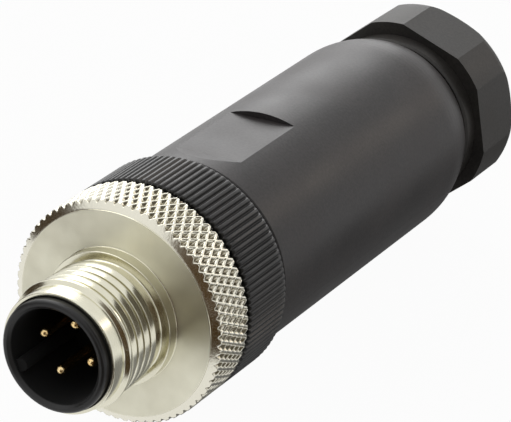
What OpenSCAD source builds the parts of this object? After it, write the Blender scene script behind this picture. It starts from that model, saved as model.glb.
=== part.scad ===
// Field-wireable circular sensor connector, M12, A-coded, four male contacts, straight.
// The connector lies along Y: mating face towards -Y, cable entry towards +Y, Z up.
// The origin is on the axis, at the middle of the coupling thread.
// Every size is in millimetres. Threads are plain cylinders at their major or bore diameter.

/* [Coupling screw] */

// major diameter of the coupling thread
thread_d = 12; // [11.8:0.1:13]
// length of the threaded tube in front of the flange face
tube_len = 8.8; // [7:0.1:11]
// length of the smooth lead-in at the tube's tip
lead_len = 1.6; // [0.8:0.1:2.2]
// diameter of the smooth lead-in
lead_d = 11.1; // [10.9:0.1:11.6]
// width of the thread undercut next to the shoulder
undercut_w = 0.8; // [0.4:0.1:1.2]
// diameter at the bottom of the undercut
undercut_d = 11; // [10.9:0.1:11.6]
// diameter of the shoulder at the root of the thread
shoulder_d = 13; // [12.6:0.1:16]
// length of the shoulder in front of the flange face
shoulder_len = 1.1; // [0.6:0.1:1.6]
// outside diameter of the knurled head
head_d = 20.8; // [19.4:0.1:25]
// length of the knurled head
head_len = 5.2; // [4.4:0.1:8]
// axial length of the head's front chamfer
head_chamfer = 0.6; // [0.2:0.1:1]
// width of the open slit between the head and the grip ring
head_slit = 0.3; // [0.2:0.05:0.8]

/* [Contact carrier] */

// outside diameter of the nose inside the threaded tube
nose_d = 10.3; // [9.6:0.1:10.4]
// how far the nose stands out of the threaded tube
nose_out = 0.9; // [0.3:0.1:2]
// inside diameter of the contact cup
cup_d = 8.7; // [8.2:0.1:8.9]
// depth of the contact cup
cup_depth = 8.5; // [6:0.1:9.5]
// width of the coding key
key_w = 1.15; // [0.8:0.05:1.4]
// height of the coding key above the cup wall
key_h = 1; // [0.5:0.1:1.2]
// how far the key ends behind the rim
key_recess = 0.5; // [0.2:0.1:2]
// direction of the coding key about the axis, measured from +X towards +Z, in degrees
key_turn = 228.4; // [0:0.1:359.9]
// diameter of the hub that carries the coupling screw
hub_d = 14; // [13.6:0.1:15]
// outside diameter of the grip ring over the ribs
ring_d = 20.8; // [19.4:0.1:25]
// length of the grip ring
ring_len = 6.2; // [4:0.1:9]
// number of ribs on the grip ring
rib_count = 110; // [60:1:130]
// height of the ribs
rib_h = 0.3; // [0.15:0.05:0.5]
// length of the bevel at each end of the ribs
rib_bevel = 0.5; // [0.2:0.1:1]
// diameter of the rear thread that holds the housing
spigot_d = 15.9; // [15:0.1:16.2]
// length of the rear thread
spigot_len = 7.5; // [5:0.1:10]
// bore of the carrier behind the contact floor
socket_d = 11; // [10.4:0.1:11.6]

/* [Contacts] */

// diameter of the circle the contacts stand on
pin_circle_d = 5; // [4.6:0.1:5.2]
// diameter of a contact pin
pin_d = 1; // [0.8:0.05:1.2]
// diameter of the contact's shank where it passes through the cup floor
shank_d = 1.2; // [1.1:0.05:1.4]
// how far the pin tips stand behind the rim of the nose
pin_recess = 2; // [0.5:0.1:4]
// outside diameter of a contact's terminal sleeve
sleeve_d = 2.9; // [2.4:0.1:3]
// length of the terminal sleeve
sleeve_len = 17.8; // [14:0.1:20]
// bore for the stripped wire
wire_d = 1.7; // [1:0.1:2]
// depth of the wire bore
wire_depth = 8; // [6:0.5:10]
// distance of the terminal screw from the sleeve's open end
screw_back = 4; // [3:0.1:5]
// thread diameter of a terminal screw
screw_d = 1.5; // [1.2:0.1:1.6]
// head diameter of a terminal screw
screw_head_d = 2; // [1.8:0.1:2.2]

/* [Terminal block] */

// outside diameter of the terminal block
block_d = 10.8; // [10:0.1:11]
// length of the terminal block
block_len = 22; // [19:0.5:24]

/* [Housing] */

// outside diameter of the housing
housing_d = 19.4; // [18.8:0.1:23]
// length of the housing body without its neck
housing_len = 37; // [32:0.1:44]
// direction the upper wrench flat faces, from +X towards +Z, in degrees
flat_turn = 112; // [0:1:180]
// size across the wrench flats
flat_across = 18.2; // [17.6:0.1:18.6]
// distance from the housing's front face to the floor of a flat
flat_start = 3.6; // [2.6:0.1:6]
// length of the floor of a flat
flat_len = 9.5; // [6:0.1:14]
// length of the run-out in front of a flat
flat_ramp = 2.2; // [1:0.1:2.4]
// length of the rounded rear shoulder
crown_len = 4.6; // [2:0.1:6]
// drop of the rounded rear shoulder
crown_drop = 1.05; // [0.4:0.05:1.2]
// inside diameter of the wiring space
wiring_d = 15.2; // [13.4:0.1:15.6]
// diameter of the neck thread
neck_d = 15.2; // [14.4:0.1:15.4]
// length of the neck
neck_len = 5.2; // [4.4:0.1:6]
// bore of the neck
neck_bore = 12.4; // [11.6:0.1:12.8]
// thickness of the web the cable seal rests on
web_t = 1.4; // [0.8:0.1:2]
// hole in the web for the cable
web_hole = 7.4; // [6.4:0.1:8.4]
// width of the visible housing gasket
gasket_w = 0.4; // [0.3:0.1:1.6]
// outside diameter of the housing gasket
gasket_d = 17.8; // [17:0.1:18]

/* [Gland] */

// size across the flats of the gland nut
nut_across = 18.2; // [17:0.1:22]
// diameter over the turned corners of the gland nut
nut_d = 19.3; // [18.6:0.1:24]
// length of the hexagon
nut_len = 6.8; // [5:0.1:9]
// diameter of the round collar in front of the hexagon
collar_d = 16.8; // [16.4:0.1:17.6]
// length of the round collar
collar_len = 1.6; // [1:0.1:3]
// how far the nut stands off the housing
nut_gap = 0.9; // [0.3:0.1:2.4]
// turn of the hexagon, direction of one flat from +X towards +Z, in degrees
nut_turn = 30; // [0:1:59]
// cable opening of the gland nut
entry_d = 8; // [6.5:0.1:9]
// length of the cable seal
seal_len = 6; // [4:0.1:6.5]
// cable hole of the seal
seal_hole = 4.6; // [3:0.1:6]
// number of fingers of the clamping cage
finger_count = 8; // [4:1:12]
// width of the slots between the fingers
finger_slot = 1; // [0.5:0.1:1.4]

/* [Fits] */

// radial clearance of the coupling screw on the nose
nose_play = 0.07; // [0.05:0.01:0.1]
// radial clearance of the coupling screw on the hub
hub_play = 0.15; // [0.05:0.01:0.2]
// radial clearance in the housing thread and the gland thread
thread_play = 0.1; // [0.05:0.01:0.2]
// radial clearance of the contacts and their screws in their bores
contact_play = 0.03; // [0.02:0.01:0.05]
// radial clearance of loose pieces in their bores
loose_play = 0.1; // [0.05:0.01:0.2]
// axial clearance between pieces that turn on each other
axial_play = 0.2; // [0.1:0.05:0.4]

/* [Hidden] */

facets = 96;
fine = 48;

// how far a cutter runs past a face, and how far two joined shapes share material
over = 1;
merge = 0.1;
// broken edge of a turned or moulded piece, and the chamfer at a thread's end
edge = 0.2;
chamfer = 0.4;

thread_r = thread_d / 2;
nose_r = nose_d / 2;
cup_r = cup_d / 2;
hub_r = hub_d / 2;
head_r = head_d / 2;
ring_r = ring_d / 2;
root_r = ring_r - rib_h;
shoulder_r = shoulder_d / 2;
bore_r = nose_r + nose_play;
hub_bore_r = hub_r + hub_play;
flange_r = head_r - head_chamfer;
spigot_r = spigot_d / 2;
housing_r = housing_d / 2;
crown_r = housing_r - crown_drop;
neck_r = neck_d / 2;
pin_r = pin_d / 2;
shank_r = shank_d / 2;
sleeve_r = sleeve_d / 2;
ring_offset = pin_circle_d / 2;

// slopes at the two ends of the coupling thread
thread_run = 0.3;
run_out = 0.2;
thread_len = tube_len - lead_len - thread_run - shoulder_len - undercut_w - run_out;
flange_y = thread_len / 2 + run_out + undercut_w + shoulder_len;
tube_y = flange_y - tube_len;
rim_y = tube_y - nose_out;
floor_y = rim_y + cup_depth;
tip_y = rim_y + pin_recess;
flange_t = 1;
hub_y = flange_y + flange_t;
head_end = flange_y + head_len;
ring_y = head_end + head_slit;
ring_end = ring_y + ring_len;
spigot_end = ring_end + spigot_len;
housing_y = ring_end + gasket_w;
housing_end = housing_y + housing_len;
neck_end = housing_end + neck_len;
nut_y = housing_end + nut_gap;
hex_y = nut_y + collar_len;
nut_end = hex_y + nut_len;

// spring ring between the hub and the coupling screw
clip_w = 0.8;
clip_back = 2.6;
clip_play = 0.05;
clip_y = flange_y + clip_back;
groove_r = hub_r - 0.9;
clip_in = groove_r + clip_play;
clip_out = hub_r + 0.95;

// contacts: floor of the cup, block behind it, sleeves and their screws
floor_t = 5.2;
block_web = 0.3;
head_inset = 0.2;
block_y = floor_y + floor_t;
sleeve_y = block_y + block_web;
sleeve_end = sleeve_y + sleeve_len;
screw_y = sleeve_end - screw_back;
screw_seat = ring_offset + sleeve_r;
screw_top = block_d / 2 - head_inset;

// gland: seal on its web, cage on the seal, cone of the nut on the cage's fingers
seal_inset = 0.6;
finger_reach = 0.7;
nut_bore = neck_r + thread_play;
nut_floor = neck_end + nut_gap + axial_play;
cone_len = 1.2;
cone_r = neck_bore / 2 + edge;
seat_y = housing_end - seal_len - seal_inset;
seal_end = seat_y + seal_len;
cage_y = seal_end + nut_gap;
cage_end = nut_floor + finger_reach;
tip_r = entry_d / 2 + 1;
cage_r = neck_bore / 2 - loose_play;

black_color = [0.11, 0.11, 0.12];
metal_color = [0.78, 0.75, 0.68];
gold_color = [0.83, 0.68, 0.35];
rubber_color = [0.05, 0.05, 0.05];
block_color = [0.16, 0.16, 0.17];
cage_color = [0.2, 0.2, 0.21];

// Stands children drawn along Z on the connector's axis Y.
module on_axis() {
    rotate([-90, 0, 0]) children();
}

// Turns children drawn along X to a direction about the axis, from +X towards +Z.
module towards(angle) {
    rotate([0, -angle, 0]) children();
}

// A turned body from a list of [radius, distance along the axis].
module turned(points, sides = facets) {
    on_axis() rotate_extrude($fn = sides) polygon(points);
}

// A straight round hole or bar along the axis.
module bar(radius, from, to, sides = fine) {
    translate([0, from, 0]) on_axis() cylinder(r = radius, h = to - from, $fn = sides);
}

// Points of a quarter arc in the [radius, distance] plane.
function arc_points(center, radius, start, end, steps) =
    [for (i = [0 : steps]) let (a = start + (end - start) * i / steps)
        [center[0] + radius * cos(a), center[1] + radius * sin(a)]];

// Direction of contact i about the axis.
function pin_turn(i) = key_turn - 45 - 90 * (i - 1);

// The outline of the ribs: flat-topped teeth with bevelled flanks.
// Half widths are shares of the rib spacing: at the foot, at the bevel and at the top.
module rib_outline() {
    step = 360 / rib_count;
    foot = 0.42;
    bevel = 0.27;
    top = 0.1;
    bevel_r = ring_r - 0.35 * rib_h;
    polygon([for (i = [0 : rib_count - 1], p = [
        [root_r, -foot], [bevel_r, -bevel], [ring_r, -top],
        [ring_r, top], [bevel_r, bevel], [root_r, foot]])
        [p[0] * cos((i + p[1]) * step), p[0] * sin((i + p[1]) * step)]]);
}

// The ribbed band with bevelled ends.
module ribs() {
    intersection() {
        translate([0, ring_y, 0]) on_axis() linear_extrude(ring_len) rib_outline();
        turned([[hub_r, ring_y], [root_r - merge, ring_y], [ring_r, ring_y + rib_bevel],
            [ring_r, ring_end - rib_bevel], [root_r - merge, ring_end], [hub_r, ring_end]]);
    }
}

// The coding key inside the cup, with a rounded inner edge.
module coding_key() {
    key_len = floor_y - rim_y - key_recess;
    towards(key_turn) translate([0, rim_y + key_recess, 0]) {
        bar_in = cup_r - key_h + key_w / 2;
        translate([bar_in, 0, -key_w / 2]) cube([cup_r - bar_in + edge, key_len, key_w]);
        translate([bar_in, 0, 0]) on_axis() cylinder(d = key_w, h = key_len, $fn = fine);
    }
}

// Front moulding: nose with the contact cup, hub, grip ring and rear thread in one piece.
module contact_carrier() {
    nose_round = 0.35;
    mouth = 0.3;
    relief_r = spigot_r - chamfer;
    relief_end = ring_end + 1;
    core_r = root_r - 1;
    color(black_color) {
        difference() {
            union() {
                turned(concat(
                    [[0, rim_y]],
                    arc_points([nose_r - nose_round, rim_y + nose_round], nose_round, -90, 0, 6),
                    [[nose_r, hub_y + axial_play], [hub_r, hub_y + axial_play],
                    [hub_r, clip_y], [groove_r, clip_y], [groove_r, clip_y + clip_w],
                    [hub_r, clip_y + clip_w], [hub_r, ring_y + merge], [core_r, ring_y + merge],
                    [core_r, ring_end], [relief_r, ring_end],
                    [relief_r, relief_end], [spigot_r, relief_end + chamfer],
                    [spigot_r, spigot_end - chamfer], [spigot_r - chamfer, spigot_end],
                    [0, spigot_end]]));
                ribs();
            }
            bar(cup_r, rim_y - over, floor_y, facets);
            turned([[0, rim_y - over], [cup_r + mouth, rim_y - over], [cup_r + mouth, rim_y],
                [cup_r, rim_y + mouth], [0, rim_y + mouth]]);
            bar(socket_d / 2, block_y, spigot_end + over, facets);
            for (i = [1 : 4]) {
                towards(pin_turn(i)) translate([ring_offset, 0, 0])
                    bar(shank_r + contact_play, floor_y - over, block_y + over);
            }
        }
        coding_key();
    }
}

// Rear insulator with a chamber for each contact and a driver hole for each screw.
module terminal_block() {
    block_r = block_d / 2;
    block_end = block_y + block_len;
    back = 0.6;
    color(block_color) difference() {
        turned([[0, block_y], [block_r, block_y], [block_r, block_end - back],
            [block_r - back, block_end], [0, block_end]]);
        for (i = [1 : 4]) {
            towards(pin_turn(i)) translate([ring_offset, 0, 0]) {
                bar(shank_r + contact_play, block_y - over, sleeve_y + over);
                bar(sleeve_r + contact_play, sleeve_y, block_end + over);
                translate([0, screw_y, 0]) rotate([0, 90, 0])
                    cylinder(r = screw_head_d / 2 + loose_play, h = block_d, $fn = fine);
            }
        }
    }
}

// Turned contact: round-tipped pin, terminal sleeve, wire bore and cross thread.
module contact(i) {
    turned_edge = 0.15;
    color(gold_color) towards(pin_turn(i)) translate([ring_offset, 0, 0]) difference() {
        turned(concat(
            [[0, sleeve_end], [0, tip_y]],
            arc_points([0, tip_y + pin_r], pin_r, -85, 0, 8),
            [[pin_r, floor_y], [shank_r, floor_y], [shank_r, sleeve_y],
            [sleeve_r - turned_edge, sleeve_y], [sleeve_r, sleeve_y + turned_edge],
            [sleeve_r, sleeve_end - turned_edge], [sleeve_r - turned_edge, sleeve_end]]), fine);
        bar(wire_d / 2, sleeve_end - wire_depth, sleeve_end + over);
        translate([0, screw_y, 0]) rotate([0, 90, 0])
            cylinder(r = screw_d / 2 + contact_play, h = sleeve_d, $fn = fine);
    }
}

module contact_1() {
    contact(1);
}

module contact_2() {
    contact(2);
}

module contact_3() {
    contact(3);
}

module contact_4() {
    contact(4);
}

// Slotted screw that clamps the wire in a contact's sleeve.
module terminal_screw(i) {
    slot_w = 0.4;
    slot_depth = 0.5;
    tip_x = ring_offset + 0.2;
    color(metal_color) towards(pin_turn(i)) translate([0, screw_y, 0]) difference() {
        union() {
            translate([tip_x, 0, 0]) rotate([0, 90, 0])
                cylinder(r = screw_d / 2, h = screw_seat - tip_x + edge, $fn = fine);
            translate([screw_seat, 0, 0]) rotate([0, 90, 0])
                cylinder(r = screw_head_d / 2, h = screw_top - screw_seat, $fn = fine);
        }
        translate([screw_top - slot_depth, -screw_head_d, -slot_w / 2])
            cube([slot_depth + over, 2 * screw_head_d, slot_w]);
    }
}

module terminal_screw_1() {
    terminal_screw(1);
}

module terminal_screw_2() {
    terminal_screw(2);
}

module terminal_screw_3() {
    terminal_screw(3);
}

module terminal_screw_4() {
    terminal_screw(4);
}

// Split spring ring in the hub groove, holds the coupling screw on.
module retaining_ring() {
    ring_gap = 1.6;
    color(metal_color) difference() {
        turned([[clip_in, clip_y + clip_play], [clip_out, clip_y + clip_play],
            [clip_out, clip_y + clip_w - clip_play], [clip_in, clip_y + clip_w - clip_play]]);
        translate([0, clip_y - over, -ring_gap / 2])
            cube([head_r, clip_w + 2 * over, ring_gap]);
    }
}

// Coupling screw: lead-in, thread, undercut, shoulder, flange and head in one turned piece.
module coupling_screw() {
    back_edge = 0.3;
    lead_r = lead_d / 2;
    undercut_r = undercut_d / 2;
    shoulder_y = flange_y - shoulder_len;
    color(metal_color) turned([
        [bore_r, tube_y], [lead_r - edge, tube_y], [lead_r, tube_y + edge],
        [lead_r, tube_y + lead_len], [thread_r, tube_y + lead_len + thread_run],
        [thread_r, shoulder_y - undercut_w - run_out],
        [undercut_r, shoulder_y - undercut_w], [undercut_r, shoulder_y],
        [shoulder_r - edge, shoulder_y], [shoulder_r, shoulder_y + edge],
        [shoulder_r, flange_y], [flange_r, flange_y], [head_r, flange_y + head_chamfer],
        [head_r, head_end - back_edge], [head_r - back_edge, head_end], [hub_bore_r, head_end],
        [hub_bore_r, clip_y + clip_w + axial_play],
        [clip_out + axial_play, clip_y + clip_w + axial_play],
        [clip_out + axial_play, clip_y - axial_play], [hub_bore_r, clip_y - axial_play],
        [hub_bore_r, hub_y], [bore_r, hub_y]]);
}

// Sealing ring between the grip ring and the housing.
module housing_gasket() {
    inner_r = spigot_r - 0.3;
    outer_r = gasket_d / 2;
    bevel = gasket_w / 4;
    color(rubber_color) turned([
        [inner_r, ring_end], [outer_r - bevel, ring_end], [outer_r, ring_end + bevel],
        [outer_r, housing_y - bevel], [outer_r - bevel, housing_y], [inner_r, housing_y]]);
}

// Cutter for one wrench flat towards +X, with its run-out to the front.
module flat_cut() {
    flat_x = flat_across / 2;
    flat_y = housing_y + flat_start;
    translate([0, 0, -housing_r]) linear_extrude(housing_d)
        polygon([[flat_x, flat_y], [flat_x, flat_y + flat_len],
            [housing_r + over, flat_y + flat_len],
            [housing_r + over, flat_y - flat_ramp], [housing_r, flat_y - flat_ramp]]);
}

// Housing sleeve: front thread, wiring space, seal seat and rear neck.
module housing() {
    front = 0.5;
    thread_end = spigot_end + chamfer;
    thread_bore = spigot_r + thread_play;
    web_y = seat_y - web_t;
    funnel = 1.6;
    crown_steps = 8;
    crown_big = (crown_len * crown_len + crown_drop * crown_drop) / (2 * crown_drop);
    crown_end = asin(crown_len / crown_big);
    color(black_color) difference() {
        turned(concat(
            [[thread_bore, housing_y], [housing_r - front, housing_y],
            [housing_r, housing_y + front]],
            arc_points([housing_r - crown_big, housing_end - crown_len], crown_big,
                0, crown_end, crown_steps),
            [[neck_r, housing_end], [neck_r, neck_end - chamfer], [neck_r - chamfer, neck_end],
            [neck_bore / 2, neck_end], [neck_bore / 2, seat_y], [web_hole / 2, seat_y],
            [web_hole / 2, web_y], [wiring_d / 2, web_y - funnel],
            [wiring_d / 2, thread_end + chamfer], [thread_bore, thread_end]]));
        for (turn = [flat_turn, flat_turn + 180]) {
            towards(turn) flat_cut();
        }
    }
}

// Rubber bush that closes on the cable sheath, with three lips in its hole.
module cable_seal() {
    lip = 0.35;
    hole_r = seal_hole / 2;
    pitch = seal_len / 7;
    seal_r = neck_bore / 2 - loose_play;
    mouth_r = hole_r + 0.5;
    color(rubber_color) turned([
        [mouth_r, seat_y], [seal_r - chamfer, seat_y], [seal_r, seat_y + 2 * chamfer],
        [seal_r, seal_end - chamfer], [seal_r - chamfer, seal_end], [mouth_r, seal_end],
        [hole_r, seal_end - pitch], [hole_r + lip, seal_end - 2 * pitch],
        [hole_r, seal_end - 3 * pitch], [hole_r + lip, seal_end - 4 * pitch],
        [hole_r, seal_end - 5 * pitch], [hole_r + lip, seal_end - 6 * pitch]]);
}

// Clamping cage: a ring with sprung fingers that the nut's cone presses on the cable.
module clamping_cage() {
    ring_t = 1.5;
    tip_len = 2.2;
    finger_in = entry_d / 2 - edge;
    cone_y = cage_end - tip_len;
    color(cage_color) difference() {
        turned([[finger_in, cage_y], [cage_r, cage_y], [cage_r, cone_y],
            [tip_r, cage_end], [finger_in, cage_end]]);
        for (i = [0 : finger_count - 1]) {
            towards(i * 360 / finger_count)
                translate([0, cage_y + ring_t, -finger_slot / 2])
                cube([cage_r + over, cage_end - cage_y, finger_slot]);
        }
    }
}

// Gland nut: round collar, hexagon with turned corners, inner cone and cable opening.
module gland_nut() {
    entry_r = entry_d / 2;
    collar_r = collar_d / 2;
    corner = 1.3;
    corner_steps = 5;
    mouth_r = nut_bore + 0.3;
    cone_end = nut_floor + cone_len;
    color(black_color) difference() {
        union() {
            turned([[0, nut_y], [collar_r - edge, nut_y], [collar_r, nut_y + edge],
                [collar_r, hex_y + merge], [0, hex_y + merge]]);
            intersection() {
                towards(nut_turn + 30) translate([0, hex_y, 0]) on_axis()
                    cylinder(r = nut_across / sqrt(3), h = nut_len, $fn = 6);
                turned(concat([[0, hex_y], [nut_d / 2, hex_y]],
                    arc_points([nut_d / 2 - corner, nut_end - corner], corner, 0, 90,
                        corner_steps),
                    [[0, nut_end]]));
            }
        }
        turned([[0, nut_y - over], [mouth_r, nut_y - over], [mouth_r, nut_y],
            [nut_bore, nut_y + mouth_r - nut_bore], [nut_bore, nut_floor], [cone_r, nut_floor],
            [entry_r + chamfer, cone_end], [entry_r, cone_end], [entry_r, nut_end - edge],
            [entry_r + edge, nut_end], [entry_r + edge, nut_end + over], [0, nut_end + over]]);
    }
}

contact_carrier();
terminal_block();
contact_1();
contact_2();
contact_3();
contact_4();
terminal_screw_1();
terminal_screw_2();
terminal_screw_3();
terminal_screw_4();
retaining_ring();
coupling_screw();
housing_gasket();
housing();
cable_seal();
clamping_cage();
gland_nut();
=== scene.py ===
"""Looks of a straight M12 sensor connector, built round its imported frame.

The connector lies along Y: the contact cup faces -Y and the cable entry +Y. All lengths are in metres.
"""

import math

import bmesh
import bpy
import numpy as np
from mathutils import Matrix, Vector


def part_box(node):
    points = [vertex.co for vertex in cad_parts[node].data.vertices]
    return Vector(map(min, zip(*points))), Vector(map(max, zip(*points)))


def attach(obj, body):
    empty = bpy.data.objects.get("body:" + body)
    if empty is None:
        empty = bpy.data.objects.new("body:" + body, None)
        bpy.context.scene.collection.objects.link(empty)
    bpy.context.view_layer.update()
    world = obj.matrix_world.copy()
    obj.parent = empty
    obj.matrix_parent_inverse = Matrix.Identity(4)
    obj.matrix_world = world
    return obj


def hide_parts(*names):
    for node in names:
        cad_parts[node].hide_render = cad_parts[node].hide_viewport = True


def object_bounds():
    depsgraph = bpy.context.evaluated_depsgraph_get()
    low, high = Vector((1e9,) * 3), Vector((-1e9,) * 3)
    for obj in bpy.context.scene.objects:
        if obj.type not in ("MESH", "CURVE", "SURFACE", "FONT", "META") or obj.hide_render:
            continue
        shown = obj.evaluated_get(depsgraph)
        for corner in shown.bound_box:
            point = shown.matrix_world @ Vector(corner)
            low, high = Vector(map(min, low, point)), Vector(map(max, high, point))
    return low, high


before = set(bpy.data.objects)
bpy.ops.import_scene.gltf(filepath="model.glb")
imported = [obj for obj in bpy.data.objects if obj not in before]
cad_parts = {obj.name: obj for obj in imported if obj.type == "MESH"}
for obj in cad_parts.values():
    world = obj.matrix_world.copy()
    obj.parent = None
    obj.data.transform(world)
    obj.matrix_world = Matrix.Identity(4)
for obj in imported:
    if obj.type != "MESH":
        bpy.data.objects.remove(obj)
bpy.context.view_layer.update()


# ---------------------------------------------------------------- sizes

MM = 0.001
TURN = 2 * math.pi

# Places that lie closer together than this are the same, and points closer than WELD are one.
TOUCH = 0.002 * MM
WELD = 0.0001 * MM
# Flat sides of a plain turned ring.
ROUND_SIDES = 256
# How far, in how many steps and over what share of its sides each corner of a turned outline is rounded,
# and how near to its edges a flat has its last rings.
CORNER = {"round": 0.07 * MM, "steps": 3, "share": 0.45, "support": 0.05 * MM}

# The coupling screw's tube: its radii, and lengths and distances back from its tip.
TUBE = {
    "bore": 5.22 * MM,
    "lead_radius": 5.55 * MM,
    "lead_length": 1.6 * MM,
    "land_below_crest": 0.02 * MM,
    "land_rise": 0.28 * MM,
    "land_length": 0.62 * MM,
    "land_fall": 0.3 * MM,
    "root_radius": 5.42 * MM,
    "thread_end": 7.0 * MM,
    "relief_radius": 5.42 * MM,
    "relief_end": 7.65 * MM,
    "relief_corner": 0.1 * MM,
    "shoulder_radius": 6.25 * MM,
    "flange": 8.8 * MM,
}

# The screw's head: the bare rim of its flange, the bevels at its front and back, and the wall behind the
# flange. The knurled band is tucked in under the rim, and the shares place the rings on each bevel.
HEAD = {
    "rim": 0.14 * MM,
    "tuck": 0.03 * MM,
    "front_length": 0.5 * MM,
    "front_drop": 0.8 * MM,
    "front_shares": (0.05, 0.2, 0.35, 0.5, 0.65, 0.8, 0.9, 1.0),
    "back_bevel": 0.3 * MM,
    "back_shares": (0.33, 0.66, 1.0),
    "hub_bore": 7.15 * MM,
    "wall": 1.0 * MM,
}

# The thread's ridge: its section, the foot sunk in the core, the bare lengths at its two ends, and the share
# of its length over which each end runs down.
THREAD = {
    "pitch": 1.0 * MM,
    "crest": 0.46 * MM,
    "base": 0.94 * MM,
    "round": 0.10 * MM,
    "round_steps": 3,
    "sunk": 0.03 * MM,
    "start_gap": 0.3 * MM,
    "end_gap": 0.15 * MM,
    "run_out": 0.05,
    "end_scale": 0.05,
    "steps_per_turn": 144,
}

# The knurl: ridges of each hand round the head, the length in which a ridge moves on by one, the depth from a
# sharp crest to a pit's point, the share of it that the flattened crests keep, and the band's wall.
KNURL = {
    "ridges": 72,
    "repeat": 1.74 * MM,
    "depth": 0.56 * MM,
    "kept": 0.86,
    "wall": 1.0 * MM,
    "steps_per_ridge": 12,
    "rows": 34,
}

# The ribbed skin on the grip ring. A point on either edge is given by how far it lies in from the crests and
# from the skin's end.
RIBS = {
    "count": 110,
    "depth": 0.24 * MM,
    "crest": 0.3,
    "bevel": 0.5 * MM,
    "proud": 0.01 * MM,
    "wall": 0.7 * MM,
    "front_edge": [(0.16 * MM, 0.0), (0.06 * MM, 0.02 * MM), (0.015 * MM, 0.06 * MM), (0.0, 0.13 * MM)],
    "back_edge": [(0.0, 0.46 * MM), (0.03 * MM, 0.36 * MM), (0.11 * MM, 0.2 * MM), (0.29 * MM, 0.0)],
    "shares": (0.2, 0.4, 0.6, 0.8),
    "steps_per_rib": 12,
}

# The gasket's bead between the grip ring and the housing. It is coloured near black, for the rubber and for
# the painted shade in the gap.
GASKET = {"height": 0.8 * MM, "below_ring": 0.42 * MM, "round": 0.15 * MM, "round_steps": 5}

# The radius inside which the carrier's finish is the cup's, matt and darkened with painted shade, and the
# width of the change to the outside.
CUP = {"radius": 4.35 * MM, "change": 0.1 * MM}


def node_points(node):
    """A node's points, as rows of x, y and z."""
    return np.array([vertex.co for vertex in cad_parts[node].data.vertices])


def radii(points):
    """Distance of each point from the connector's axis."""
    return np.hypot(points[:, 0], points[:, 2])


def reach(node, low=-math.inf, high=math.inf):
    """Largest radius of a node's points between two distances along the axis."""
    points = node_points(node)
    within = (points[:, 1] >= low) & (points[:, 1] <= high)
    return float(radii(points[within]).max())


tube_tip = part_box("coupling_screw")[0].y
head_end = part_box("coupling_screw")[1].y
flange_at = tube_tip + TUBE["flange"]
head_radius = reach("coupling_screw")
thread_radius = reach("coupling_screw", tube_tip, tube_tip + TUBE["thread_end"])
ring_radius = reach("contact_carrier")


# ---------------------------------------------------------------- material nodes

class Nodes:
    """A node tree that is written step by step."""

    def __init__(self, tree):
        self.tree = tree

    def node(self, kind, inputs=(), **settings):
        """Adds a node. An input is a plain value or another node's output."""
        made = self.tree.nodes.new(kind)
        for key, value in settings.items():
            setattr(made, key, value)
        for socket, value in dict(inputs).items():
            if isinstance(value, bpy.types.NodeSocket):
                self.tree.links.new(value, made.inputs[socket])
            else:
                made.inputs[socket].default_value = value
        return made

    def maths(self, operation, *values):
        """The result of one sum on plain values or other nodes' outputs."""
        return self.node("ShaderNodeMath", dict(enumerate(values)), operation=operation).outputs[0]

    def sees_backdrop(self):
        """1 for rays that see the backdrop itself: from the camera, in a gloss or through glass."""
        ray = self.node("ShaderNodeLightPath").outputs
        seen = self.maths("MAXIMUM", ray["Is Camera Ray"], ray["Is Glossy Ray"])
        return self.maths("MAXIMUM", seen, ray["Is Transmission Ray"])


class Finish(Nodes):
    """One procedural material: a Principled surface and the nodes that vary it."""

    def __init__(self, name, **values):
        self.material = bpy.data.materials.new(name)
        self.material.use_nodes = True
        super().__init__(self.material.node_tree)
        self.surface = self.tree.nodes["Principled BSDF"]
        self.place = self.node("ShaderNodeTexCoord").outputs["Object"]
        for socket, value in values.items():
            self.surface.inputs[socket.replace("_", " ")].default_value = value

    def noise(self, mark, place):
        """The noise of one of the marks in GRAIN, at a place."""
        scale, detail = GRAIN[mark]
        inputs = {"Vector": place, "Scale": scale, "Detail": detail}
        return self.node("ShaderNodeTexNoise", inputs).outputs["Fac"]

    def grain(self, mark, stretch=(1, 1, 1)):
        """The noise of a mark on the surface, made finer along an axis by its stretch."""
        place = self.node("ShaderNodeMapping", {"Vector": self.place, "Scale": stretch}).outputs[0]
        return self.noise(mark, place)

    def spread(self, value, low=0.0, high=1.0, start=0.3, end=0.7):
        """A value that runs from start to end, spread out from low to high."""
        inputs = {"Value": value, "From Min": start, "From Max": end, "To Min": low, "To Max": high}
        return self.node("ShaderNodeMapRange", inputs).outputs[0]

    def blend(self, share, first, second):
        """Mixes two colours, each a plain one or another node's output."""
        ends = [end if isinstance(end, bpy.types.NodeSocket) else (*end, 1) for end in (first, second)]
        return self.node("ShaderNodeMix", {0: share, 6: ends[0], 7: ends[1]}, data_type="RGBA").outputs[2]

    def bump(self, height, distance):
        """The surface's direction, tilted by a height of which 1 is worth a distance."""
        inputs = {"Height": height, "Distance": distance, "Strength": 1.0}
        return self.node("ShaderNodeBump", inputs).outputs[0]

    def put(self, socket, value):
        """Drives one of the surface's sockets."""
        self.tree.links.new(value, self.surface.inputs[socket])

    def show(self, shader):
        """Makes another shader the material's surface."""
        self.tree.links.new(shader.outputs[0], self.tree.nodes["Material Output"].inputs["Surface"])

    def axis_radius(self):
        """Distance of the surface point from the connector's axis."""
        part = self.node("ShaderNodeSeparateXYZ", {0: self.place}).outputs
        squares = [self.maths("POWER", part[axis], 2.0) for axis in (0, 2)]
        return self.maths("SQRT", self.maths("ADD", *squares))

    def along(self):
        """Distance of the surface point along the connector's axis."""
        return self.node("ShaderNodeSeparateXYZ", {0: self.place}).outputs[1]


# ---------------------------------------------------------------- finishes

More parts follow.
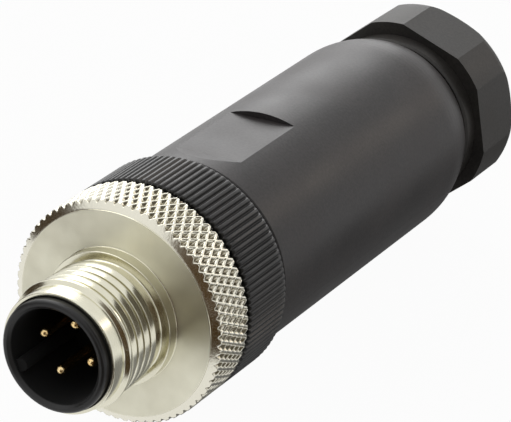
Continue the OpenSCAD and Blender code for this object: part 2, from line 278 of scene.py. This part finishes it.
# The dark and the light tone between which the colour of each finish wanders.
TONES = {
    "insert": ((0.011, 0.011, 0.011), (0.017, 0.016, 0.016)),
    "housing": ((0.024, 0.0215, 0.0215), (0.052, 0.0465, 0.046)),
    "nut": ((0.023, 0.021, 0.019), (0.042, 0.038, 0.034)),
    # The gasket's tone is partly the rubber's and partly painted shade for the gap that it fills.
    "gasket": ((0.002, 0.002, 0.002), (0.004, 0.004, 0.004)),
    "block": ((0.050, 0.050, 0.052), (0.070, 0.070, 0.072)),
    "rubber": ((0.010, 0.010, 0.010), (0.022, 0.022, 0.021)),
    "nickel": ((0.70, 0.675, 0.545), (0.80, 0.78, 0.64)),
    "gold": ((0.90, 0.62, 0.26), (0.97, 0.76, 0.42)),
    "zinc": ((0.50, 0.50, 0.50), (0.68, 0.68, 0.66)),
}
# Painted shade: the inside of the contact cup is coloured darker than the carrier's plastic.
CUP_SHADE_BLACK = (0.003, 0.003, 0.003)
# The colours of the knurl's bright crests and of the painted shade in its pits, and how deep each one stands.
KNURL_CREST = {"color": (0.78, 0.755, 0.645, 1), "position": 0.15}
KNURL_PIT_SHADE = {"color": (0.38, 0.33, 0.24, 1), "position": 0.8}

# The marks in the finishes: the noise's cells to the metre, and how many finer layers it has.
GRAIN = {
    "cloud": (190.0, 3.0),
    "speck": (4200.0, 2.0),
    "eroded": (7000.0, 3.0),
    "stain": (260.0, 3.0),
    "wear": (700.0, 4.0),
    "tool_lines": (9000.0, 2.0),
    "knurl_skin": (4200.0, 3.0),
    "gold_cloud": (1500.0, 3.0),
    "gold_lines": (16000.0, 2.0),
    "zinc_cloud": (1800.0, 4.0),
    "zinc_skin": (12000.0, 2.0),
    "bloom": (900.0, 4.0),
    "rubber_skin": (6000.0, 3.0),
}
# How deep the bump of each finish is.
BUMP = {
    "eroded": 0.006 * MM,
    "turned": 0.0016 * MM,
    "faced": 0.0022 * MM,
    "knurled": 0.008 * MM,
    "gold": 0.002 * MM,
    "zinc": 0.003 * MM,
    "rubber": 0.005 * MM,
}
# The lowest and highest roughness of each finish, and the cup's only one. Moulded and turned finishes are
# given a roughness of their own, and vary from it by this much.
GLOSS = {
    "moulded": (-0.04, 0.05),
    "turned": (-0.03, 0.04),
    "insert": (0.31, 0.39),
    "cup": 0.95,
    "knurled": (0.20, 0.34),
    "gold": (0.16, 0.26),
    "zinc": (0.24, 0.4),
    "rubber": (0.62, 0.78),
}

# The attribute that tells the knurl's finish how deep a point was pressed in.
PIT = "pit"


def moulded_plastic(name, tones, roughness, specular=0.38):
    """A black moulding of polyamide or rubber: an eroded grain, faint clouding and uneven gloss."""
    finish = Finish(name, Roughness=roughness, Specular_IOR_Level=specular)
    cloud = finish.grain("cloud")
    halves = [finish.maths("MULTIPLY", part, 0.5) for part in (cloud, finish.grain("speck"))]
    mottle = finish.spread(finish.maths("ADD", *halves), start=0.38, end=0.62)
    finish.put("Base Color", finish.blend(mottle, *tones))
    finish.put("Roughness", finish.spread(cloud, *[roughness + change for change in GLOSS["moulded"]]))
    finish.put("Normal", finish.bump(finish.grain("eroded"), BUMP["eroded"]))
    return finish.material


def insert_plastic(name, tones, cup_shade_color):
    """The carrier's polyamide, satin outside, and dead matt and painted darker inside the contact cup, as
    painted shade.
    """
    finish = Finish(name, Specular_IOR_Level=0.4)
    mouth = CUP["radius"]
    outside = finish.spread(finish.axis_radius(), start=mouth, end=mouth + CUP["change"])
    cloud = finish.grain("cloud")
    skin = finish.blend(finish.spread(cloud), *tones)
    finish.put("Base Color", finish.blend(outside, cup_shade_color, skin))
    inputs = {0: outside, 2: GLOSS["cup"], 3: finish.spread(cloud, *GLOSS["insert"])}
    finish.put("Roughness", finish.node("ShaderNodeMix", inputs, data_type="FLOAT").outputs[0])
    finish.put("Normal", finish.bump(finish.grain("eroded"), BUMP["eroded"]))
    return finish.material


def turned_nickel(name, roughness, anisotropy, line_depth):
    """Nickel plate over lathe-turned brass: faint tool lines round the axis and a soft stain."""
    finish = Finish(
        name, Metallic=1.0, Roughness=roughness, Anisotropic=anisotropy, Anisotropic_Rotation=0.25)
    finish.put("Tangent", finish.node("ShaderNodeTangent", direction_type="RADIAL", axis="Y").outputs[0])
    wear = finish.spread(finish.grain("wear"), *[roughness + change for change in GLOSS["turned"]])
    rings = finish.node("ShaderNodeCombineXYZ", {0: finish.axis_radius(), 1: finish.along()}).outputs[0]
    finish.put("Base Color", finish.blend(finish.spread(finish.grain("stain")), *TONES["nickel"]))
    finish.put("Roughness", wear)
    finish.put("Normal", finish.bump(finish.noise("tool_lines", rings), line_depth))
    return finish.material


def knurled_nickel(name):
    """Nickel plate on the knurl: bright crests, and painted shade that turns the pits brown."""
    finish = Finish(name, Metallic=1.0, Roughness=0.26)
    depth = finish.node("ShaderNodeAttribute", attribute_name=PIT).outputs["Fac"]
    # Painted shade: the colour darkens to brown the deeper a point lies in a pit.
    pit_shade_ramp = finish.node("ShaderNodeValToRGB", {0: depth})
    for element, look in zip(pit_shade_ramp.color_ramp.elements, (KNURL_CREST, KNURL_PIT_SHADE)):
        element.color = look["color"]
        element.position = look["position"]
    finish.put("Base Color", pit_shade_ramp.outputs[0])
    finish.put("Roughness", finish.spread(depth, *GLOSS["knurled"], start=0.3, end=1.0))
    finish.put("Normal", finish.bump(finish.grain("knurl_skin"), BUMP["knurled"]))
    return finish.material


def gold_plate(name):
    """Hard gold on the turned contacts, with fine lines round each pin's end."""
    finish = Finish(name, Metallic=1.0, Roughness=0.2)
    cloud = finish.grain("gold_cloud")
    finish.put("Base Color", finish.blend(finish.spread(cloud), *TONES["gold"]))
    finish.put("Roughness", finish.spread(cloud, *GLOSS["gold"]))
    finish.put("Normal", finish.bump(finish.grain("gold_lines", (1, 6, 1)), BUMP["gold"]))
    return finish.material


def zinc_plate(name):
    """Bright zinc on the small steel screws and the spring ring."""
    finish = Finish(name, Metallic=1.0, Roughness=0.3)
    cloud = finish.grain("zinc_cloud")
    finish.put("Base Color", finish.blend(finish.spread(cloud), *TONES["zinc"]))
    finish.put("Roughness", finish.spread(cloud, *GLOSS["zinc"]))
    finish.put("Normal", finish.bump(finish.grain("zinc_skin"), BUMP["zinc"]))
    return finish.material


def seal_rubber(name):
    """Black nitrile rubber, matt with a powdery bloom."""
    finish = Finish(name, Roughness=0.7)
    bloom = finish.grain("bloom")
    finish.put("Base Color", finish.blend(finish.spread(bloom), *TONES["rubber"]))
    finish.put("Roughness", finish.spread(bloom, *GLOSS["rubber"]))
    finish.put("Normal", finish.bump(finish.grain("rubber_skin"), BUMP["rubber"]))
    return finish.material


nickel = turned_nickel("nickel_turned", 0.20, 0.35, BUMP["turned"])
face_nickel = turned_nickel("nickel_faced", 0.40, 0.9, BUMP["faced"])
knurl_nickel = knurled_nickel("nickel_knurled")
insert_black = insert_plastic("insert_polyamide", TONES["insert"], CUP_SHADE_BLACK)
housing_black = moulded_plastic("housing_polyamide", TONES["housing"], 0.40)
nut_black = moulded_plastic("nut_polyamide", TONES["nut"], 0.46)
gasket_gap_shade = moulded_plastic("gasket_rubber", TONES["gasket"], 0.8, specular=0.1)
block_black = moulded_plastic("block_polyamide", TONES["block"], 0.45)
gold = gold_plate("gold_plated")
zinc = zinc_plate("zinc_plated")
rubber = seal_rubber("nitrile_rubber")

NODE_FINISH = {
    "contact_carrier": insert_black,
    "terminal_block": block_black,
    "retaining_ring": zinc,
    "housing": housing_black,
    "cable_seal": rubber,
    "clamping_cage": block_black,
    "gland_nut": nut_black,
}
for number in range(1, 5):
    NODE_FINISH[f"contact_{number}"] = gold
    NODE_FINISH[f"terminal_screw_{number}"] = zinc

for node, finish in NODE_FINISH.items():
    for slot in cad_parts[node].material_slots:
        slot.material = finish


# ---------------------------------------------------------------- geometry nodes

def added(name, data):
    """A new object in the scene, made of a mesh, a lamp or a camera."""
    made = bpy.data.objects.new(name, data)
    bpy.context.collection.objects.link(made)
    return made


class Tree(Nodes):
    """A Geometry Nodes tree with named inputs for its sizes."""

    def __init__(self, name):
        super().__init__(bpy.data.node_groups.new(name, "GeometryNodeTree"))
        self.values = {}
        for way in ("INPUT", "OUTPUT"):
            self.tree.interface.new_socket("Geometry", in_out=way, socket_type="NodeSocketGeometry")
        self.entry = self.tree.nodes.new("NodeGroupInput")
        self.exit = self.tree.nodes.new("NodeGroupOutput")

    def size(self, name, value):
        """A named input and the value that the modifier gives it."""
        socket = self.tree.interface.new_socket(name, in_out="INPUT", socket_type="NodeSocketFloat")
        self.values[socket.identifier] = value
        return self.entry.outputs[name]

    def point(self):
        """The three distances of the point from the origin."""
        place = self.node("GeometryNodeInputPosition").outputs[0]
        return self.node("ShaderNodeSeparateXYZ", {0: place}).outputs

    def axis_radius(self, point):
        """Distance of the point from the connector's axis."""
        flat = self.node("ShaderNodeCombineXYZ", {0: point[0], 2: point[2]}).outputs[0]
        return self.node("ShaderNodeVectorMath", {0: flat}, operation="LENGTH").outputs["Value"]

    def pressed_in(self, geometry, point, radius, limit):
        """The geometry, with each point that lies outside its limit moved in to it."""
        share = self.maths("DIVIDE", self.maths("MINIMUM", radius, limit), radius)
        across, up = [self.maths("MULTIPLY", point[axis], share) for axis in (0, 2)]
        place = self.node("ShaderNodeCombineXYZ", {0: across, 1: point[1], 2: up}).outputs[0]
        return self.node("GeometryNodeSetPosition", {"Geometry": geometry, "Position": place}).outputs[0]

    def close(self, geometry, finish):
        """Ends the tree in real geometry with its material."""
        real = self.node("GeometryNodeRealizeInstances", {0: geometry}).outputs[0]
        done = self.node("GeometryNodeSetMaterial", {"Geometry": real, "Material": finish}).outputs[0]
        self.tree.links.new(done, self.exit.inputs[0])

    def apply(self, name, mesh=None):
        """Runs the tree on a mesh and returns its result as a plain mesh object."""
        source_name = name + "_source"
        source = added(source_name, mesh or bpy.data.meshes.new(source_name))
        modifier = source.modifiers.new("tree", "NODES")
        modifier.node_group = self.tree
        for identifier, value in self.values.items():
            modifier[identifier] = value
        depsgraph = bpy.context.evaluated_depsgraph_get()
        result = bpy.data.meshes.new_from_object(source.evaluated_get(depsgraph))
        source.modifiers.remove(modifier)
        bpy.data.objects.remove(source)
        result.name = name
        return added(name, result)


# ---------------------------------------------------------------- turned meshes

def softened(outline, radius=CORNER["round"], steps=CORNER["steps"]):
    """A closed outline of (radius, distance) points with each corner turned to a small round."""
    points = [Vector(point) for point in outline]
    done = []
    for index, corner in enumerate(points):
        before = points[index - 1] - corner
        after = points[(index + 1) % len(points)] - corner
        length = min(radius, CORNER["share"] * min(before.length, after.length))
        start = corner + before.normalized() * length
        end = corner + after.normalized() * length
        for step in range(steps + 1):
            far = step / steps
            near = 1 - far
            done.append(near ** 2 * start + 2 * far * near * corner + far ** 2 * end)
    return [(point.x, point.y) for point in done]


def supported(outline):
    """Adds a ring close to both ends of each long straight, so that flat faces shade flat."""
    gap = CORNER["support"]
    done = []
    for index, point in enumerate(outline):
        here, there = Vector(point), Vector(outline[(index + 1) % len(outline)])
        done.append(tuple(here))
        if (there - here).length > 4 * gap:
            step = (there - here).normalized() * gap
            done.append(tuple(here + step))
            done.append(tuple(there - step))
    return done


def turned_mesh(name, outline, sides):
    """A closed ring turned from a closed outline of (radius, distance) points."""
    ring = np.array(outline)
    count = len(ring)
    angles = np.arange(sides) * TURN / sides
    points = np.empty((sides, count, 3))
    points[..., 0] = np.cos(angles)[:, None] * ring[:, 0]
    points[..., 1] = ring[:, 1]
    points[..., 2] = np.sin(angles)[:, None] * ring[:, 0]
    faces = []
    for side in range(sides):
        here, there = side * count, (side + 1) % sides * count
        for row in range(count):
            above = (row + 1) % count
            faces.append((here + row, there + row, there + above, here + above))
    mesh = bpy.data.meshes.new(name)
    mesh.from_pydata(points.reshape(-1, 3).tolist(), [], faces)
    outward(mesh)
    return mesh


def outward(mesh):
    """Turns every face of a closed mesh outwards and shades it smooth."""
    made = bmesh.new()
    made.from_mesh(mesh)
    bmesh.ops.remove_doubles(made, verts=made.verts, dist=WELD)
    bmesh.ops.recalc_face_normals(made, faces=made.faces)
    made.to_mesh(mesh)
    made.free()
    mesh.shade_smooth()


def joined(name, parts):
    """Several mesh objects as one, with their finishes kept."""
    with bpy.context.temp_override(active_object=parts[0], selected_editable_objects=parts):
        bpy.ops.object.join()
    parts[0].name = parts[0].data.name = name
    return parts[0]


# ---------------------------------------------------------------- coupling screw

def turned_body(rim, inner):
    """The screw's turned body: tube, land, root of the thread, relief, shoulder, flange and hub."""
    crest = thread_radius - TUBE["land_below_crest"]
    lead_end = tube_tip + TUBE["lead_length"]
    land_end = lead_end + TUBE["land_length"]
    relief_end = tube_tip + TUBE["relief_end"]
    rim_end = flange_at + HEAD["rim"]
    wall_end = flange_at + HEAD["wall"]
    outline = [
        (TUBE["bore"], tube_tip),
        (TUBE["lead_radius"], tube_tip),
        (TUBE["lead_radius"], lead_end),
        (crest, lead_end + TUBE["land_rise"]),
        (crest, land_end),
        (TUBE["root_radius"], land_end + TUBE["land_fall"]),
        (TUBE["root_radius"], tube_tip + TUBE["thread_end"]),
        (TUBE["relief_radius"], relief_end - TUBE["relief_corner"]),
        (TUBE["relief_radius"] + TUBE["relief_corner"], relief_end),
        (TUBE["shoulder_radius"], relief_end),
        (TUBE["shoulder_radius"], flange_at),
        (rim, flange_at),
        (rim, rim_end),
        (inner, rim_end),
        (inner, head_end),
        (HEAD["hub_bore"], head_end),
        (HEAD["hub_bore"], wall_end),
        (TUBE["bore"], wall_end),
    ]
    body = added("turned_body", turned_mesh("turned_body", supported(softened(outline)), ROUND_SIDES))
    body.data.materials.append(nickel)
    body.data.materials.append(face_nickel)
    for face in body.data.polygons:
        if abs(face.center.y - flange_at) < TOUCH:
            face.material_index = 1
    return body


def knurl_tree(finish):
    """Presses a lattice of diamond pits into a turned band: narrow crossing ridges are left standing."""
    tree = Tree("diamond_knurl")
    outer = tree.size("Outer radius", head_radius)
    ridges = tree.size("Ridges of each hand", float(KNURL["ridges"]))
    repeat = tree.size("Axial repeat", KNURL["repeat"])
    depth = tree.size("Depth of a sharp crest", KNURL["depth"])
    kept = tree.size("Share of depth kept", KNURL["kept"])
    point = tree.point()
    angle = tree.maths("ARCTAN2", point[2], point[0])
    around = tree.maths("MULTIPLY", tree.maths("DIVIDE", angle, TURN), ridges)
    along = tree.maths("DIVIDE", point[1], repeat)
    right = tree.maths("PINGPONG", tree.maths("ADD", around, along), 0.5)
    left = tree.maths("PINGPONG", tree.maths("SUBTRACT", around, along), 0.5)
    from_ridge = tree.maths("MULTIPLY", tree.maths("MINIMUM", right, left), 2.0)
    height = tree.maths("MINIMUM", tree.maths("SUBTRACT", 1.0, from_ridge), kept)
    pit_radius = tree.maths("SUBTRACT", outer, tree.maths("MULTIPLY", depth, kept))
    limit = tree.maths("ADD", pit_radius, tree.maths("MULTIPLY", depth, height))
    radius = tree.axis_radius(point)
    over = tree.maths("MAXIMUM", tree.maths("SUBTRACT", radius, limit), 0.0)
    inputs = {"Geometry": tree.entry.outputs[0], "Name": PIT, "Value": tree.maths("DIVIDE", over, depth)}
    marked = tree.node(
        "GeometryNodeStoreNamedAttribute", inputs, data_type="FLOAT", domain="POINT").outputs[0]
    tree.close(tree.pressed_in(marked, point, radius, limit), finish)
    return tree


def knurled_band(rim, inner):
    """The band round the head: a bevel that rises from the rim, the knurl and a small bevel at the back."""
    lip = flange_at + HEAD["rim"] / 2
    front = flange_at + HEAD["front_length"]
    back = head_end - HEAD["back_bevel"]
    rows = KNURL["rows"]
    rise, length = HEAD["front_drop"], front - lip
    drops = [HEAD["back_bevel"] * share for share in HEAD["back_shares"]]
    outline = [(inner, lip), (rim - HEAD["tuck"], lip)]
    outline += [(rim + rise * share, lip + length * share) for share in HEAD["front_shares"]]
    outline += [(head_radius, front + (back - front) * row / rows) for row in range(1, rows + 1)]
    outline += [(head_radius - drop, back + drop) for drop in drops]
    outline += [(inner, head_end)]
    plain = turned_mesh("knurled_band", outline, KNURL["steps_per_ridge"] * KNURL["ridges"])
    return knurl_tree(knurl_nickel).apply("knurled_band", plain)


def thread_tree(finish):
    """Winds the thread's ridge along a helix; both ends run down into the core."""
    tree = Tree("coupling_thread")
    bare = TUBE["lead_length"] + THREAD["start_gap"]
    pitch = tree.size("Pitch", THREAD["pitch"])
    start = tree.size("Start", tube_tip + bare)
    length = tree.size("Length", TUBE["thread_end"] - THREAD["end_gap"] - bare)
    core = tree.size("Core radius", TUBE["root_radius"] - THREAD["sunk"])
    height = tree.size("Ridge height", thread_radius - TUBE["root_radius"] + THREAD["sunk"])
    base = tree.size("Ridge base", THREAD["base"])
    crest = tree.size("Ridge crest", THREAD["crest"])
    rounding = tree.size("Crest round", THREAD["round"])
    turns = tree.maths("DIVIDE", length, pitch)
    helix = tree.node("GeometryNodeCurveSpiral", {
        "Resolution": THREAD["steps_per_turn"], "Rotations": turns, "Start Radius": core, "End Radius": core,
        "Height": length}).outputs[0]
    upright = tree.node("GeometryNodeSetCurveNormal", {"Curve": helix}, mode="Z_UP").outputs[0]
    where = tree.node("GeometryNodeSplineParameter").outputs["Factor"]
    from_end = tree.maths("SUBTRACT", 0.5, tree.maths("ABSOLUTE", tree.maths("SUBTRACT", where, 0.5)))
    scale = tree.node("ShaderNodeMapRange", {
        "Value": from_end, "From Min": 0.0, "From Max": THREAD["run_out"], "To Min": THREAD["end_scale"],
        "To Max": 1.0}).outputs[0]
    tapered = tree.node("GeometryNodeSetCurveRadius", {"Curve": upright, "Radius": scale}).outputs[0]
    profile = tree.node("GeometryNodeCurvePrimitiveQuadrilateral", {
        "Bottom Width": base, "Top Width": crest, "Height": height, "Offset": 0.0},
        mode="TRAPEZOID").outputs[0]
    rounded = tree.node("GeometryNodeFilletCurve", {
        "Curve": profile, "Count": THREAD["round_steps"], "Radius": rounding, "Limit Radius": True},
        mode="POLY").outputs[0]
    ridge = tree.node("GeometryNodeCurveToMesh", {
        "Curve": tapered, "Profile Curve": rounded, "Fill Caps": True}).outputs[0]
    lying = tree.node("GeometryNodeTransform", {"Geometry": ridge, "Rotation": (-TURN / 4, 0, 0)}).outputs[0]
    offset = tree.node("ShaderNodeCombineXYZ", {1: start}).outputs[0]
    moved = tree.node("GeometryNodeTransform", {"Geometry": lying, "Translation": offset}).outputs[0]
    tree.close(moved, finish)
    return tree


def coupling_screw():
    """The turned body, its diamond-knurled band and its helical thread, as one object."""
    rim = head_radius - HEAD["front_drop"]
    inner = head_radius - KNURL["wall"]
    parts = [
        turned_body(rim, inner),
        knurled_band(rim, inner),
        thread_tree(nickel).apply("thread_ridge"),
    ]
    return joined("coupling_screw_turned", parts)


# ---------------------------------------------------------------- grip ring and gasket

def rib_tree(finish, outer, phase):
    """Cuts rounded valleys into a turned band, so that a row of soft-crested ribs stands."""
    tree = Tree("grip_ribs")
    crests = tree.size("Outer radius", outer)
    count = tree.size("Ribs", float(RIBS["count"]))
    depth = tree.size("Valley depth", RIBS["depth"])
    turn = tree.size("Turn of the first rib", phase)
    point = tree.point()
    angle = tree.maths("SUBTRACT", tree.maths("ARCTAN2", point[2], point[0]), turn)
    around = tree.maths("MULTIPLY", tree.maths("DIVIDE", angle, TURN), count)
    from_crest = tree.maths("MULTIPLY", tree.maths("PINGPONG", around, 0.5), 2.0)
    inputs = {"Value": from_crest, "From Min": RIBS["crest"], "From Max": 1.0}
    valley = tree.node("ShaderNodeMapRange", inputs, interpolation_type="SMOOTHSTEP").outputs[0]
    limit = tree.maths("SUBTRACT", crests, tree.maths("MULTIPLY", depth, valley))
    band = tree.entry.outputs[0]
    tree.close(tree.pressed_in(band, point, tree.axis_radius(point), limit), finish)
    return tree


def grip_ribs():
    """A thin ribbed skin over the carrier's grip ring, with its ribs on those of the ring."""
    points = node_points("contact_carrier")
    crests = points[radii(points) > ring_radius - TOUCH]
    # Crests lie whole ribs apart, so counted in ribs they all point one way: to the turn of the first rib.
    turns = np.exp(1j * RIBS["count"] * np.arctan2(crests[:, 2], crests[:, 0]))
    phase = float(np.angle(turns.mean())) / RIBS["count"]
    outer = ring_radius + RIBS["proud"]
    inner = ring_radius - RIBS["wall"]
    front = float(crests[:, 1].min()) - RIBS["bevel"] - RIBS["proud"]
    back = float(crests[:, 1].max()) + RIBS["bevel"] + RIBS["proud"]
    outline = [(inner, front)]
    outline += [(outer - drop, front + step) for drop, step in RIBS["front_edge"]]
    outline += [(outer, front + (back - front) * share) for share in RIBS["shares"]]
    outline += [(outer - drop, back - step) for drop, step in RIBS["back_edge"]]
    outline += [(inner, back)]
    plain = turned_mesh("grip_ribs", outline, RIBS["steps_per_rib"] * RIBS["count"])
    return rib_tree(insert_black, outer, phase).apply("grip_ribs", plain)


def gasket_bead():
    """The rubber ring between grip ring and housing, pressed out to a rounded bead, near black as painted
    shade in the gap.
    """
    front, back = [corner.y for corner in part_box("housing_gasket")]
    inner = reach("housing_gasket") - GASKET["height"]
    outer = ring_radius - GASKET["below_ring"]
    corners = [(inner, front), (outer, front), (outer, back), (inner, back)]
    outline = softened(corners, GASKET["round"], GASKET["round_steps"])
    made = added("gasket_bead", turned_mesh("gasket_bead", outline, ROUND_SIDES))
    made.data.materials.append(gasket_gap_shade)
    return made


screw = coupling_screw()
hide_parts("coupling_screw")
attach(screw, "coupling")

ribs = grip_ribs()
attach(ribs, "insert")

bead = gasket_bead()
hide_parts("housing_gasket")
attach(bead, "insert")


# ---------------------------------------------------------------- studio

WHITE = (1, 1, 1)
UP = (0, 0, 1)

# The strength of the white room's light.
ROOM_LIGHT = 0.30

# The floor. The shown share of it is seen as plain white, and the rest keeps its shadow.
FLOOR = {"size": 6.0, "color": (0.86, 0.86, 0.86, 1), "roughness": 0.9, "shown": 0.96}

# The camera stands in a level of its own, turned about the connector's axis from the floor's.
LEVEL = Matrix.Rotation(math.radians(-22.0), 3, "Y")

# Soft lamps. Their places are offsets from the connector's middle, in the camera's level.
SOFTBOXES = {
    "back_softbox": {"place": (-0.31, 0.46, 0.23), "size": (0.42, 0.44), "power": 1.3, "color": WHITE},
    "top_softbox": {"place": (-0.30, 0.00, 0.58), "size": (0.45, 0.45), "power": 1.2, "color": WHITE},
    "warm_softbox": {
        "place": (0.31, 0.50, 0.23), "size": (0.10, 0.10), "power": 0.12, "color": (1.0, 0.82, 0.66)},
}

# Dull boards that lie just clear of the floor. Their places are measured from the origin.
FLOOR_BOARDS = {
    # Painted shadow: the first board stands for the connector's shadow on the floor, where its gloss sees the
    # floor.
    "table_board": {"place": (0.085, 0.105), "size": (0.16, 0.20), "color": (0.22, 0.22, 0.22)},
    "front_board": {"place": (0.121, -0.196), "size": (0.24, 0.36), "color": (0.06, 0.038, 0.018)},
    "left_board": {"place": (-0.21, -0.075), "size": (0.36, 0.19), "color": (0.06, 0.042, 0.025)},
}
BOARD_LIFT = 0.2 * MM

# Dull boards that stand up. Their offsets from the connector's middle, and the ways they face, are in the
# camera's level.
STANDING_BOARDS = {
    "side_board": {
        "place": (0.25, -0.48, 0.05), "faces": (-0.25, 0.48, -0.05), "size": (0.56, 0.35),
        "color": (0.08, 0.05, 0.024)},
    "right_board": {
        "place": (0.45, 0.10, 0.24), "faces": (-0.45, -0.10, -0.20), "size": (0.50, 0.60),
        "color": (0.10, 0.088, 0.065)},
}

# The camera: its direction in its own level, its distance, its lens in millimetres, the nearest it sees, and
# the offset in millimetres from the connector's middle to the point that it looks at.
CAMERA = {
    "azimuth": math.radians(30.248),
    "elevation": math.radians(24.086),
    "distance": 0.3089,
    "lens": 239.0,
    "nearest": 0.01,
    "aim": (0.46, -1.165, 0.87),
}


def picture(across, along, up):
    """A direction or offset in the camera's own level, in the connector's axes."""
    return LEVEL @ Vector((across, along, up))


def white_room(strength):
    """A world that lights softly and shows plain white."""
    world = bpy.data.worlds.new("white_room")
    world.use_nodes = True
    room = Nodes(world.node_tree)
    soft = room.tree.nodes["Background"]
    soft.inputs["Color"].default_value = (*WHITE, 1)
    soft.inputs["Strength"].default_value = strength
    plain = room.node("ShaderNodeBackground", {"Color": (*WHITE, 1), "Strength": 1.0})
    inputs = {0: room.sees_backdrop(), 1: soft.outputs[0], 2: plain.outputs[0]}
    mix = room.node("ShaderNodeMixShader", inputs)
    room.tree.links.new(mix.outputs[0], room.tree.nodes["World Output"].inputs["Surface"])
    bpy.context.scene.world = world


def flat_plane(name, size, place, normal):
    """A plain rectangle of the studio that faces a direction."""
    mesh = bpy.data.meshes.new(name)
    right, top = size[0] / 2, size[1] / 2
    corners = [(-right, -top, 0), (right, -top, 0), (right, top, 0), (-right, top, 0)]
    mesh.from_pydata(corners, [], [(0, 1, 2, 3)])
    plane = added(name, mesh)
    plane.location = place
    plane.rotation_euler = Vector(normal).to_track_quat("Z", "Y").to_euler()
    return plane


def pale_floor(level):
    """White floor under the connector that keeps a soft shadow."""
    floor = flat_plane("floor", (FLOOR["size"], FLOOR["size"]), (0, 0, level), UP)
    paint = Finish("floor_white", Base_Color=FLOOR["color"], Roughness=FLOOR["roughness"])
    glow = paint.node("ShaderNodeEmission", {"Color": (*WHITE, 1)})
    share = paint.maths("MULTIPLY", paint.sees_backdrop(), FLOOR["shown"])
    inputs = {0: share, 1: paint.surface.outputs[0], 2: glow.outputs[0]}
    paint.show(paint.node("ShaderNodeMixShader", inputs))
    floor.data.materials.append(paint.material)


def board(name, size, place, normal, color):
    """A dull studio board that shows only in the connector's gloss."""
    panel = flat_plane(name, size, place, normal)
    paint = Finish(name + "_paint")
    paint.show(paint.node("ShaderNodeEmission", {"Color": (*color, 1)}))
    panel.data.materials.append(paint.material)
    panel.visible_camera = False
    panel.visible_diffuse = False
    panel.visible_shadow = False


def softbox(name, place, aim, size, power, color):
    """A rectangular soft lamp that faces the connector."""
    lamp = bpy.data.lights.new(name, "AREA")
    lamp.shape = "RECTANGLE"
    lamp.size, lamp.size_y = size
    lamp.energy = power
    lamp.color = color
    box = added(name, lamp)
    box.location = place
    box.rotation_euler = (aim - place).to_track_quat("-Z", "Y").to_euler()


def lens_camera(middle):
    """The camera, from its direction, its distance and the point that it looks at."""
    camera = added("camera", bpy.data.cameras.new("camera"))
    level = math.cos(CAMERA["elevation"])
    forward = Vector((
        -math.sin(CAMERA["azimuth"]) * level,
        math.cos(CAMERA["azimuth"]) * level,
        -math.sin(CAMERA["elevation"])))
    upright = forward.to_track_quat("-Z", "Y").to_matrix()
    aim = middle + picture(*CAMERA["aim"]) * MM
    camera.rotation_euler = (LEVEL @ upright).to_euler()
    camera.location = aim - LEVEL @ forward * CAMERA["distance"]
    camera.data.lens = CAMERA["lens"]
    camera.data.clip_start = CAMERA["nearest"]
    bpy.context.scene.camera = camera


low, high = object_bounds()
middle = (Vector(low) + Vector(high)) / 2
white_room(ROOM_LIGHT)
pale_floor(low[2])
for name, box in SOFTBOXES.items():
    softbox(name, middle + picture(*box["place"]), middle, box["size"], box["power"], box["color"])
for name, lying in FLOOR_BOARDS.items():
    board(name, lying["size"], (*lying["place"], low[2] + BOARD_LIFT), UP, lying["color"])
for name, standing in STANDING_BOARDS.items():
    place = middle + picture(*standing["place"])
    board(name, standing["size"], place, picture(*standing["faces"]), standing["color"])
lens_camera(middle)
bpy.context.scene.view_settings.view_transform = "Standard"
